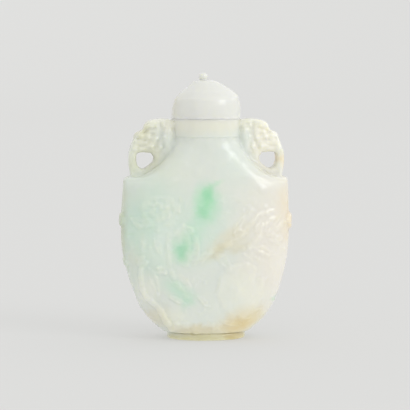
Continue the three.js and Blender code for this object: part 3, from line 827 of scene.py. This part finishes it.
@dataclass
class Bottle:
    """The jade bottle: its hollow vessel, its carving and its two handles, all one stone."""

    wall: Wall = field(default_factory=Wall)
    handle: Handle = field(default_factory=Handle)
    columns: int = 280
    front_share: float = 0.62
    row_pitch: float = 0.31
    foot_half: Point = (10.35, 8)
    foot_squareness: float = 2.1
    foot_height: float = 1.9
    foot_rim: float = 2.1
    recess: float = 0.9
    wall_thickness: float = 3.3
    floor_z: float = 5.8
    roof_z: float = 44.5
    chamber_levels: tuple[float, float, int] = (0.93, -0.995, 18)
    bore_radius: float = 3.6
    collar_radius: float = CAP_RADIUS
    unevenness: float = 0.05
    crinkle: float = 0.045
    relief: float = 0.55
    # The foot rim from the recess round to the waist above it, as inset and height.
    rim_profile: tuple[Point, ...] = (
        (2.5, 0.85), (2.25, 0.7), (2.1, 0.4), (2, 0.12), (1.8, 0), (1.2, 0), (0.5, 0), (0.2, 0.06),
        (0.05, 0.2), (0, 0.4), (0, 0.7), (0, 1), (0.03, 1.3), (0.1, 1.6), (0.28, 1.85),
    )
    # The lip, as inset from the collar and drop, and the mouth below it, as reach past the bore and drop.
    lip_profile: tuple[Point, ...] = ((0, 0.03), (0.03, 0), (1.5, 0), (3.2, 0), (4.6, 0))
    mouth_profile: tuple[Point, ...] = (
        (0.25, 0), (0.08, 0.08), (0, 0.25), (0, 3), (0, 6), (0, 8.5), (0, 10.5)
    )
    # What folds round the narrow sides, as middle and half-size: a leaf, a bud and a twig.
    side_lumps: tuple[tuple[Place, Place], ...] = (
        ((-22.1, -1.5, 31.6), (0.6, 3, 2.2)),
        ((22, -1.5, 31), (0.8, 3.2, 2.6)),
        ((-21, -1.5, 20.4), (0.35, 3, 1.4)),
    )

    def foot_rows(self) -> list[Row]:
        """The rows of the recess under the foot and of its rim."""
        wide, deep = self.foot_half
        square = self.foot_squareness
        in_wide, in_deep = wide - self.foot_rim - 0.4, deep - self.foot_rim - 0.4
        rows = [(in_wide * s, in_deep * s, square, self.recess, 0) for s in (0, 0.35, 0.7, 0.93)]
        return rows + [(wide - i, deep - i, square, z, 0) for i, z in self.rim_profile]

    def wall_rows(self) -> list[Row]:
        """The rows of the carved wall, evenly spaced along its outline."""
        fine = np.linspace(self.foot_height + 0.1, self.wall.collar_z - 0.3, 4000)
        along = np.cumsum(np.hypot(np.gradient(self.wall.width_at(fine)), np.gradient(fine)))
        z = np.interp(np.linspace(along[0], along[-1], int(along[-1] / self.row_pitch)), along, fine)
        across = (self.wall.width_at(z), self.wall.depth_at(z), self.wall.squareness_at(z))
        return list(zip(*across, z, np.ones(len(z))))

    def neck_rows(self) -> list[Row]:
        """The rows of the neck's collar, the lip and the bore."""
        neck, collar, at = self.wall.neck_radius, self.collar_radius, self.wall.collar_z
        steps = [(neck, at - 0.2), (neck + 0.06, at - 0.1), (neck + 0.17, at + 0.02), (collar, at + 0.25)]
        steps += [(collar, z) for z in np.linspace(at + 0.8, LIP_Z - 0.5, 7)]
        steps += [(collar - inset, LIP_Z - drop) for inset, drop in self.lip_profile]
        steps += [(self.bore_radius + more, LIP_Z - drop) for more, drop in self.mouth_profile]
        return [(radius, radius, 2, z, 0) for radius, z in steps]

    def chamber_rows(self) -> list[Row]:
        """The rows of the chamber from roof to floor: the outside's form, closed over at both ends."""
        level = np.linspace(*self.chamber_levels)
        z = self.floor_z + (self.roof_z - self.floor_z) * (level + 1) / 2
        closing = (1 - np.abs(level) ** 3) ** (1 / 3)
        wide = (self.wall.width_at(z) - self.wall_thickness) * closing
        deep = (self.wall.depth_at(z) - self.wall_thickness) * closing
        return [*[(w, d, 2.2, at, 0) for w, d, at in zip(wide, deep, z)], (0, 0, 2, self.floor_z, 0)]

    def turns(self, angle: Array) -> Array:
        """Shares the lathe's even turns out so that columns are closer on the front face than on the back."""
        fine = np.linspace(0, 2 * math.pi, 8001)
        x, y = section_point(self.wall.half_width, self.wall.half_depth, self.wall.squareness, fine)
        step = np.hypot(np.diff(x), np.diff(y))
        middle = 0.5 * (y[1:] + y[:-1])
        front = smooth(4, -4, middle)
        density = self.front_share * front + (1 - self.front_share) * (1 - front)
        run = np.concatenate([[0], np.cumsum(step * density)])
        return np.interp(angle % (2 * math.pi), run / run[-1] * 2 * math.pi, fine)

    def vessel(self) -> Object:
        """Returns the hollow vessel with its carving, in metres."""
        rows = [*self.foot_rows(), *self.wall_rows(), *self.neck_rows(), *self.chamber_rows()]
        width, depth, square, height, carved = np.array(rows).T
        obj = finished_object("carved_bottle", turned_rows(len(rows), self.columns))
        row, turn = row_and_turn(obj.data)
        turn = self.turns(turn)
        z = height[row]
        x, y = section_point(width[row], depth[row], square[row], turn)
        on_wall = carved[row] > 0
        x[on_wall], y[on_wall] = self.wall.point(z[on_wall], turn[on_wall])
        place_vertices(obj.data, np.stack([x, y, z], -1) * MM)
        close_poles(obj.data)
        self.carve(obj)
        return obj

    def carve(self, obj: Object) -> None:
        """Raises the relief out of both faces and folds a leaf round each narrow side."""
        co, out = coordinates(obj.data) / MM, normals(obj.data)
        x, y, z = co.T
        outer = (z > self.foot_height + 0.05) & (z < self.wall.collar_z - 0.35)
        wide, deep = np.maximum(self.wall.width_at(z), 1), np.maximum(self.wall.depth_at(z), 1)
        outer &= np.hypot(x / wide, y / deep) > 0.9
        heights = np.zeros(len(x))
        for face in Face:
            side = outer & (face.value * y > 0)
            fx, fz = x[side] * -face.value, z[side]
            ground = self.relief * carved_ground(face, fx, fz)
            ground += self.crinkle * ripple(fx, fz, 1.7) * worked_share(fx, fz)
            heights[side] = ground * smooth(0, 2.5, np.abs(y[side]))
        heights[outer] += self.unevenness * ripple(x[outer], z[outer] + 0.6 * y[outer], 4.2)
        heights[outer] = np.maximum(heights[outer], 0)
        for at, half in self.side_lumps:
            near = outer & (x * at[0] > 0) & (np.abs(x) > 19)
            r2 = ((y[near] - at[1]) / half[1]) ** 2 + ((z[near] - at[2]) / half[2]) ** 2
            heights[near] = np.maximum(heights[near], half[0] * smooth(1, 0.3, r2))
        place_vertices(obj.data, (co + out * heights[:, None]) * MM)

    def mark_raised(self, obj: Object) -> None:
        """Stores how far each point stands out of the smooth wall, as a share that the finish reads to paint
        light onto the raised figures.
        """
        x, y, z = (coordinates(obj.data) / MM).T
        raised = np.zeros(len(x))
        carved = (z > self.foot_height) & (z < self.wall.shoulder_z - 8) & (np.abs(x) < 22)
        for face in Face:
            side = carved & (face.value * y > 1)
            raised[side] = smooth(-0.05, 0.5, carved_ground(face, x[side] * -face.value, z[side]))
        attribute = obj.data.attributes.new("raised", "FLOAT", "POINT")
        attribute.data.foreach_set("value", raised.astype(np.float32))

    def add_handles(self, obj: Object) -> None:
        """Joins both handles to the vessel as one solid."""
        right = self.handle.build()
        bm = bmesh.new()
        bm.from_mesh(right.data)
        both = [*bm.verts, *bm.edges, *bm.faces]
        made = bmesh.ops.duplicate(bm, geom=both)["geom"]
        verts = [g for g in made if isinstance(g, bmesh.types.BMVert)]
        bmesh.ops.scale(bm, vec=(-1, 1, 1), verts=verts)
        bmesh.ops.recalc_face_normals(bm, faces=bm.faces)
        bm.to_mesh(right.data)
        bm.free()
        join = obj.modifiers.new("handles", "BOOLEAN")
        join.operation = "UNION"
        join.solver = "MANIFOLD"
        join.object = right
        apply_modifiers(obj)
        bpy.data.objects.remove(right)
        obj.data.shade_smooth()
        obj.data.set_sharp_from_angle(angle=math.radians(55))

    def build(self) -> Object:
        """Returns the whole bottle, dressed and riding on the frame."""
        obj = self.vessel()
        self.add_handles(obj)
        self.mark_raised(obj)
        obj.data.materials.clear()
        obj.data.materials.append(GreenJade().build())
        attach(obj, "root")
        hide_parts("bottle")
        return obj


# ---- the stopper --------------------------------------------------------------------------------
@dataclass
class Stopper:
    """A domed cap like an official's summer hat, with a bud on top and a plug below."""

    radius: float = CAP_RADIUS
    plug_radius: float = 3.2
    seat: float = 0.005
    shoulder_z: float = LIP_Z + 5.6
    crown_z: float = TOP_Z - 1.9
    bud_neck: float = 1.05
    bud_radius: float = 1.18
    bud_offset: float = -0.35
    taper: float = 0.06
    lean: float = 0.05
    lean_from: float = 60.5
    lean_to: float = 64
    columns: int = 160

    def profile(self) -> Array:
        """The half-outline from the plug's foot to the bud's top, as radius and height."""
        r, plug, crown, seat = self.radius, self.plug_radius, self.crown_z, LIP_Z + self.seat
        low = [
            (0, PLUG_Z),
            (plug - 0.3, PLUG_Z),
            (plug, PLUG_Z + 0.3),
            (plug, LIP_Z - 0.02),
            (plug + 0.02, LIP_Z),
            (r - 0.03, seat),
            (r, seat + 0.03),
            (r, LIP_Z + 2),
            (r - 0.02, LIP_Z + 3.4),
            (r - 0.16, self.shoulder_z - 1),
            (r - 0.42, self.shoulder_z - 0.1),
        ]
        dome = [
            (r - 1.05, self.shoulder_z + 0.6),
            (0.77 * r, self.shoulder_z + 1.6),
            (0.57 * r, self.shoulder_z + 2.8),
            (0.37 * r, crown - 0.5),
            (0.25 * r, crown - 0.05),
            (self.bud_neck, crown),
            (self.bud_radius, crown + 0.85),
            (0.8 * self.bud_radius, crown + 1.6),
            (0, TOP_Z),
        ]
        return np.concatenate([np.array(low[:-1]), smooth_path([low[-1], *dome], 6)])

    def build(self) -> Object:
        """Returns the stopper, dressed and riding on the frame."""
        profile = self.profile()
        obj = finished_object("domed_stopper", turned_rows(len(profile), self.columns))
        row, turn = row_and_turn(obj.data)
        r, z = profile[row].T
        x, y = r * np.cos(turn), r * np.sin(turn)
        lean = self.lean * smooth(self.lean_from, self.lean_to, z)
        narrow = self.taper * smooth(LIP_Z + 1, self.lean_to, z) * smooth(TOP_Z, self.crown_z - 1, z)
        x = x * (1 - narrow * (x < 0)) - lean * (z - self.lean_from)
        x += self.bud_offset * smooth(self.crown_z - 1, self.crown_z, z)
        place_vertices(obj.data, np.stack([x, y, z + lean * x], -1) * MM)
        close_poles(obj.data)
        obj.data.set_sharp_from_angle(angle=math.radians(50))
        obj.data.materials.append(WhiteJade().build())
        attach(obj, "root")
        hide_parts("stopper")
        return obj


# ---- finishes -----------------------------------------------------------------------------------
def linear(code: str) -> tuple[float, float, float, float]:
    """A colour given as sRGB hex, as linear red, green, blue and 1."""
    parts = [int(code[i : i + 2], 16) / 255 for i in (1, 3, 5)]
    return (*[p / 12.92 if p <= 0.04045 else ((p + 0.055) / 1.055) ** 2.4 for p in parts], 1.0)


def add_node(
    tree: Tree, kind: str, settings: dict | None = None, inputs: dict | None = None
) -> bpy.types.Node:
    """Adds a node.

    Args:
        tree: The tree to add it to.
        kind: The node's type, such as ShaderNodeMix.
        settings: Its own properties.
        inputs: Its sockets by name or number: an output socket is linked, anything else is the value.

    Returns:
        The node.
    """
    node = tree.nodes.new(kind)
    for name, value in (settings or {}).items():
        setattr(node, name, value)
    for key, value in (inputs or {}).items():
        if isinstance(value, Socket):
            tree.links.new(value, node.inputs[key])
        else:
            node.inputs[key].default_value = value
    return node


def remap(tree: Tree, value: Socket, source: Point, target: Point, kind: str = "LINEAR") -> Socket:
    """Carries a value from one range to another and keeps it inside that."""
    ends = {"From Min": source[0], "From Max": source[1], "To Min": target[0], "To Max": target[1]}
    settings = {"interpolation_type": kind}
    return add_node(tree, "ShaderNodeMapRange", settings, {"Value": value, **ends}).outputs[0]


def product(tree: Tree, one: Socket, other: Socket | float) -> Socket:
    """Multiplies two numbers."""
    return add_node(tree, "ShaderNodeMath", {"operation": "MULTIPLY"}, {0: one, 1: other}).outputs[0]


@dataclass(frozen=True)
class Jade:
    """Polished jade: a fine-grained, waxy stone that light soaks into and that takes a soft gloss.

    The eye gets a glow at thin edges, shadows that fill with light, faint milky mottling, and a paler cream
    where the carving stands out, which is painted light for the light that the raised figures catch.
    """

    name: str = "jade"
    body: str = "#DCE4D8"
    veil: str = "#EDEDE2"
    # painted light: a paler cream laid on the raised figures, where they catch the light
    raised_light: str = "#E9E4CF"
    raised_light_share: float = 0.16
    glow: float = 1.4
    roughness: float = 0.22
    drifts: tuple[Point, ...] = ((9, 5), (2.2, 1.4))
    mottle_pitch: float = 6
    mottle_share: float = 0.25
    # Colour patches, mostly the stone's own clouds; some rows are painted light and painted shade.
    clouds: tuple[Cloud, ...] = ()

    def build(self) -> bpy.types.Material:
        """Returns the finished material."""
        material = bpy.data.materials.new(self.name)
        material.use_nodes = True
        tree = material.node_tree
        tree.nodes.clear()
        place = add_node(tree, "ShaderNodeTexCoord").outputs["Object"]
        wandering = place
        for pitch, reach in self.drifts:
            wandering = self.warp(tree, wandering, pitch, reach)
        colour = linear(self.body)
        for cloud in self.clouds:
            colour = self.add_cloud(tree, wandering, colour, cloud)
        mottle = self.noise(tree, place, self.mottle_pitch, 2).outputs[0]
        share = remap(tree, mottle, (0.3, 0.8), (0, self.mottle_share))
        colour = self.mix(tree, share, colour, self.veil)
        # Painted light: the raised carving is made paler, as if it catches the light.
        if self.raised_light_share:
            raised = add_node(tree, "ShaderNodeAttribute", {"attribute_name": "raised"}).outputs["Fac"]
            share = product(tree, product(tree, raised, mottle), 2 * self.raised_light_share)
            colour = self.mix(tree, share, colour, self.raised_light)
        shader = add_node(
            tree,
            "ShaderNodeBsdfPrincipled",
            {"subsurface_method": "RANDOM_WALK"},
            {
                "Base Color": colour,
                "Roughness": self.roughness,
                "IOR": 1.6,
                "Subsurface Weight": 1.0,
                "Subsurface Radius": (1.0, 1.0, 0.85),
                "Subsurface Scale": self.glow * MM,
            },
        )
        add_node(tree, "ShaderNodeOutputMaterial", inputs={"Surface": shader.outputs[0]})
        return material

    def noise(self, tree: Tree, place: Socket, pitch: float, detail: float) -> bpy.types.Node:
        """Adds cloudy noise whose largest lumps are a pitch across, in millimetres."""
        inputs = {"Vector": place, "Scale": 1 / (pitch * MM), "Detail": detail, "Roughness": 0.6}
        return add_node(tree, "ShaderNodeTexNoise", inputs=inputs)

    def warp(self, tree: Tree, place: Socket, pitch: float, reach: float) -> Socket:
        """Moves a place about, so that what is drawn there has torn, drifting edges."""
        swirl = self.noise(tree, place, pitch, 4).outputs["Color"]
        inputs = {0: swirl, 1: (reach * MM,) * 3, 2: (-reach / 2 * MM,) * 3}
        drift = add_node(tree, "ShaderNodeVectorMath", {"operation": "MULTIPLY_ADD"}, inputs).outputs[0]
        return add_node(tree, "ShaderNodeVectorMath", {"operation": "ADD"}, {0: place, 1: drift}).outputs[0]

    def mix(self, tree: Tree, share: Socket, under: Socket | tuple, over: str) -> Socket:
        """Lays a colour over another by a share."""
        inputs = {"Factor": share, "A": under, "B": linear(over)}
        return add_node(tree, "ShaderNodeMix", {"data_type": "RGBA"}, inputs).outputs["Result"]

    def add_cloud(self, tree: Tree, place: Socket, under: Socket | tuple, cloud: Cloud) -> Socket:
        """Lays one oval cloud over the colour so far, solid out to its core, and returns the new colour."""
        hue, at, half, turn, strength, core = cloud
        inputs = {
            "Vector": place,
            "Location": tuple(v * MM for v in at),
            "Rotation": (0, math.radians(turn), 0),
            "Scale": tuple(v * MM for v in half),
        }
        turned = add_node(tree, "ShaderNodeMapping", {"vector_type": "TEXTURE"}, inputs).outputs[0]
        reach = add_node(tree, "ShaderNodeVectorMath", {"operation": "LENGTH"}, {0: turned}).outputs["Value"]
        share = remap(tree, reach, (1, core), (0, strength), "SMOOTHSTEP")
        return self.mix(tree, share, under, hue)


# The clouds in each stone, deepest first, as hue, middle, half-size, turn, strength and core; the rows marked
# below are painted shade and painted light, not the stone's colour.
GREEN_CLOUDS_AND_PAINTED_SHADE = (
    ("#CEE2D3", (-16, -4, 29), (17, 30, 20), 0, 0.95, 0.1),
    ("#E0E9DF", (-13.2, -9, 24.6), (6, 8, 8), 0, 0.5, 0),
    ("#D6DDCA", (-10, 0, 45), (10, 20, 9), 0, 0.5, 0),
    ("#D6E3DB", (6, 0, 46), (8, 20, 9), 0, 0.5, 0),
    ("#E6E2D8", (18, 0, 26), (17, 30, 30), 0, 0.95, 0.3),
    ("#E5D6B8", (21.8, 0, 33), (5.6, 30, 14), 0, 0.7, 0),
    # painted shade: a darker olive down the left narrow side, which faces away from the key light
    ("#C5CCB2", (-23, 0, 29), (3.6, 8, 26), 0, 0.9, 0.1),
    ("#E3D9C3", (-16, 0, 4.6), (9, 30, 4), -40, 0.5, 0.2),
    ("#DFE7DF", (-10.9, -9, 27.5), (5, 7, 7), 0, 0.6, 0.1),
    ("#E0E0D4", (-19.5, -6, 21.8), (3.5, 7, 6), 0, 0.5, 0.1),
    ("#EEEFE4", (-16, -6, 13.6), (5, 8, 7), 0, 0.6, 0.1),
    ("#EAEBDA", (-9.5, -7, 6), (6, 8, 4.5), 0, 0.6, 0.1),
    ("#ECEDE2", (8.4, -9, 13), (10, 8, 9), 15, 0.4, 0),
    ("#CBE2D2", (-1.4, -11, 31), (9, 7, 14), 12, 0.6, 0.1),
    ("#98DEB1", (-1, -11, 36.6), (5, 6, 7.8), 0, 0.75, 0.1),
    ("#6BD095", (-0.5, -11, 38.8), (2.2, 4, 4.2), 0, 0.45, 0.1),
    ("#7DD09E", (-1.8, -11, 34), (2.8, 4, 2.6), 0, 0.35, 0.1),
    ("#9CD9B2", (2, -11, 41.6), (3.6, 4, 1.4), -20, 0.5, 0.1),
    ("#BCE3C8", (-4.2, -11, 28.6), (4.2, 6, 6), 24, 0.45, 0),
    ("#9FDAB5", (-7.4, -11, 24), (3.8, 6, 5.4), 0, 0.65, 0.1),
    ("#7FD0A0", (-7.3, -11, 23.4), (2, 4, 2.6), 0, 0.25, 0),
    ("#B4DFC4", (-8, -10, 13.2), (7, 6, 4.2), 34, 0.6, 0),
    ("#A0DCB6", (-6.2, -10, 10.2), (2.4, 6, 3.6), 30, 0.25, 0),
    ("#9BD5AE", (18.4, -7, 10.2), (2, 6, 1.6), 0, 0.8, 0.3),
    ("#DDD7BE", (5, -11, 26.6), (12, 5, 3.2), -32, 0.65, 0),
    ("#D0C9A6", (2.4, -11, 24.6), (5.6, 4, 1.2), -28, 0.5, 0),
    ("#D0C9A6", (7.8, -11, 25.4), (4.8, 4, 2), -30, 0.4, 0),
    ("#DECD9C", (9.4, -7, 4.6), (11, 9, 6), -18, 0.85, 0.1),
    ("#D4BE80", (8.4, -8, 3.8), (6.4, 6, 2.8), -14, 0.55, 0.1),
    ("#D2D0B2", (-12.6, -6, 5.4), (6, 8, 3.4), 40, 0.35, 0.1),
    ("#D6C9A0", (-3, -8, 2.6), (12, 8, 2.4), 0, 0.6, 0.2),
    ("#E7E4D2", (0, 0, 57.8), (30, 30, 5), 0, 0.6, 0.3),
    ("#C9C79A", (-17, 0, 54.6), (4, 6, 4), 0, 0.7, 0.2),
    ("#D8D6BE", (-16, 0, 50), (6, 10, 10), 0, 0.6, 0.4),
    ("#C8CCB0", (-19, 0, 45.6), (3, 6, 4.4), 0, 0.5, 0.2),
    ("#F2EEDF", (16, 0, 52), (6, 10, 11), 0, 0.8, 0.4),
    ("#E6D0A0", (20, 0, 47.4), (2.4, 5, 4), 0, 0.7, 0.3),
    ("#C8C192", (0, 0, 0.4), (16, 16, 2.6), 0, 0.8, 0.5),
    ("#BCA662", (7, -5, 0.8), (6, 6, 2), 0, 0.6, 0.3),
)
WHITE_TONE_PAINTED_LIGHT_AND_SHADE = (
    # partly the stone's yellowish tone, partly painted shade on the stopper's left side, away from the key
    # light
    ("#DAD6C4", (-9.4, -2, 62), (3.6, 10, 7), 0, 0.5, 0),
    # painted light: a near-white band at the stopper's foot that lightens the shade in the seam above the lip
    ("#F8F8F3", (0, 0, 58), (30, 30, 1.4), 0, 0.8, 0.1),
)


@dataclass(frozen=True)
class GreenJade(Jade):
    """Jadeite, pale apple green with emerald clouds and a russet skin near the foot, and painted shade down
    its left narrow side.
    """

    name: str = "polished_pale_green_jadeite"
    body: str = "#DCE1D9"
    clouds: tuple[Cloud, ...] = GREEN_CLOUDS_AND_PAINTED_SHADE


@dataclass(frozen=True)
class WhiteJade(Jade):
    """White jade with the faintest green, like thin milk, with painted light over the seam at its foot and
    painted shade on its left side.
    """

    name: str = "polished_white_jade"
    body: str = "#E2E3DD"
    veil: str = "#EAE8E0"
    raised_light_share: float = 0
    glow: float = 0.5
    clouds: tuple[Cloud, ...] = WHITE_TONE_PAINTED_LIGHT_AND_SHADE


# ---- the studio ---------------------------------------------------------------------------------
@dataclass
class Studio:
    """A plain pale sweep, a soft key light from the right and an even fill from all round."""

    distance: float = 506
    height: float = 76
    azimuth: float = -5.5
    aim: Place = (-0.26, 0, 35.08)
    fill: Point = (0.93, 1.02)
    lamps: tuple[tuple[str, float, float, Place], ...] = (
        ("key", 0.57, 27, (-0.75, 0.56, -0.36)),
        ("glint", 0.04, 5, (-0.93, -0.22, -0.36)),
    )
    lens: float = 168.55
    floor_reach: float = 2.4
    floor_rise: float = 0.6
    paper: str = "#A9A9A8"
    paper_light: str = "#DCDCDA"
    paper_glow: float = 0.46

    def add_camera(self) -> None:
        """Puts the camera in front, a little to the left and looking slightly down."""
        data = bpy.data.cameras.new("camera")
        data.lens = self.lens
        data.sensor_width = 36
        data.clip_start = 0.01
        camera = bpy.data.objects.new("camera", data)
        turn = math.radians(self.azimuth)
        right, ahead = self.distance * math.sin(turn), self.distance * math.cos(turn)
        camera.location = Vector((right, -ahead, self.height)) * MM
        camera.rotation_euler = (Vector(self.aim) * MM - camera.location).to_track_quat("-Z", "Y").to_euler()
        bpy.context.scene.collection.objects.link(camera)
        bpy.context.scene.camera = camera

    def add_floor(self) -> Object:
        """Returns a wide floor that sweeps up at its rim."""
        rise, flat = self.floor_rise, self.floor_reach - self.floor_rise
        profile = [(0.001, 0), (0.3, 0), (0.9, 0), (flat, 0)]
        turns = np.linspace(0.1, math.pi / 2, 14)
        profile += [(flat + rise * math.sin(a), rise - rise * math.cos(a)) for a in turns]
        bm = turned_rows(len(profile), 96)
        middle = [e for e in bm.edges if e.is_boundary and e.verts[0].co.z < 1]
        bmesh.ops.holes_fill(bm, edges=middle, sides=0)
        floor = finished_object("floor", bm)
        row, turn = row_and_turn(floor.data)
        r, z = np.array(profile)[row].T
        place_vertices(floor.data, np.stack([r * np.cos(turn), r * np.sin(turn), z], -1))
        close_poles(floor.data)
        floor.data.flip_normals()
        floor.visible_diffuse = False
        material = bpy.data.materials.new("pale_paper_sweep")
        material.use_nodes = True
        shader = material.node_tree.nodes["Principled BSDF"]
        shader.inputs["Base Color"].default_value = linear(self.paper)
        shader.inputs["Emission Color"].default_value = linear(self.paper_light)
        shader.inputs["Emission Strength"].default_value = self.paper_glow
        shader.inputs["Roughness"].default_value = 0.9
        shader.inputs["Specular IOR Level"].default_value = 0.0
        floor.data.materials.append(material)
        return floor

    def add_lights(self) -> None:
        """Adds the key light and the even fill."""
        for name, energy, angle, toward in self.lamps:
            sun = bpy.data.lights.new(name, "SUN")
            sun.energy = energy
            sun.angle = math.radians(angle)
            lamp = bpy.data.objects.new(name, sun)
            lamp.rotation_euler = Vector(toward).to_track_quat("-Z", "Y").to_euler()
            bpy.context.scene.collection.objects.link(lamp)
        world = bpy.data.worlds.new("fill")
        bpy.context.scene.world = world
        world.use_nodes = True
        tree = world.node_tree
        toward = add_node(tree, "ShaderNodeTexCoord").outputs["Generated"]
        across = add_node(tree, "ShaderNodeSeparateXYZ", inputs={0: toward}).outputs["X"]
        background = tree.nodes["Background"]
        tree.links.new(remap(tree, across, (-1, 1), self.fill), background.inputs["Strength"])
        background.inputs["Color"].default_value = (1, 1, 1, 1)

    def build(self) -> Object:
        """Sets up the studio and returns its floor."""
        self.add_camera()
        self.add_lights()
        bpy.context.scene.view_settings.view_transform = "Standard"
        floor = self.add_floor()
        return floor


def report(obj: Object) -> None:
    """Logs a piece's name, faces and box."""
    co = coordinates(obj.data) / MM
    low, high = co.min(0).round(2), co.max(0).round(2)
    LOG.info("%s: %d faces, from %s to %s mm", obj.name, len(obj.data.polygons), low, high)


def main() -> None:
    """Builds the studio and the two stones."""
    logging.basicConfig(level=logging.INFO, format="%(name)s %(message)s", force=True)
    for part in (Studio(), Bottle(), Stopper()):
        report(part.build())


if __name__ == "__main__":
    main()
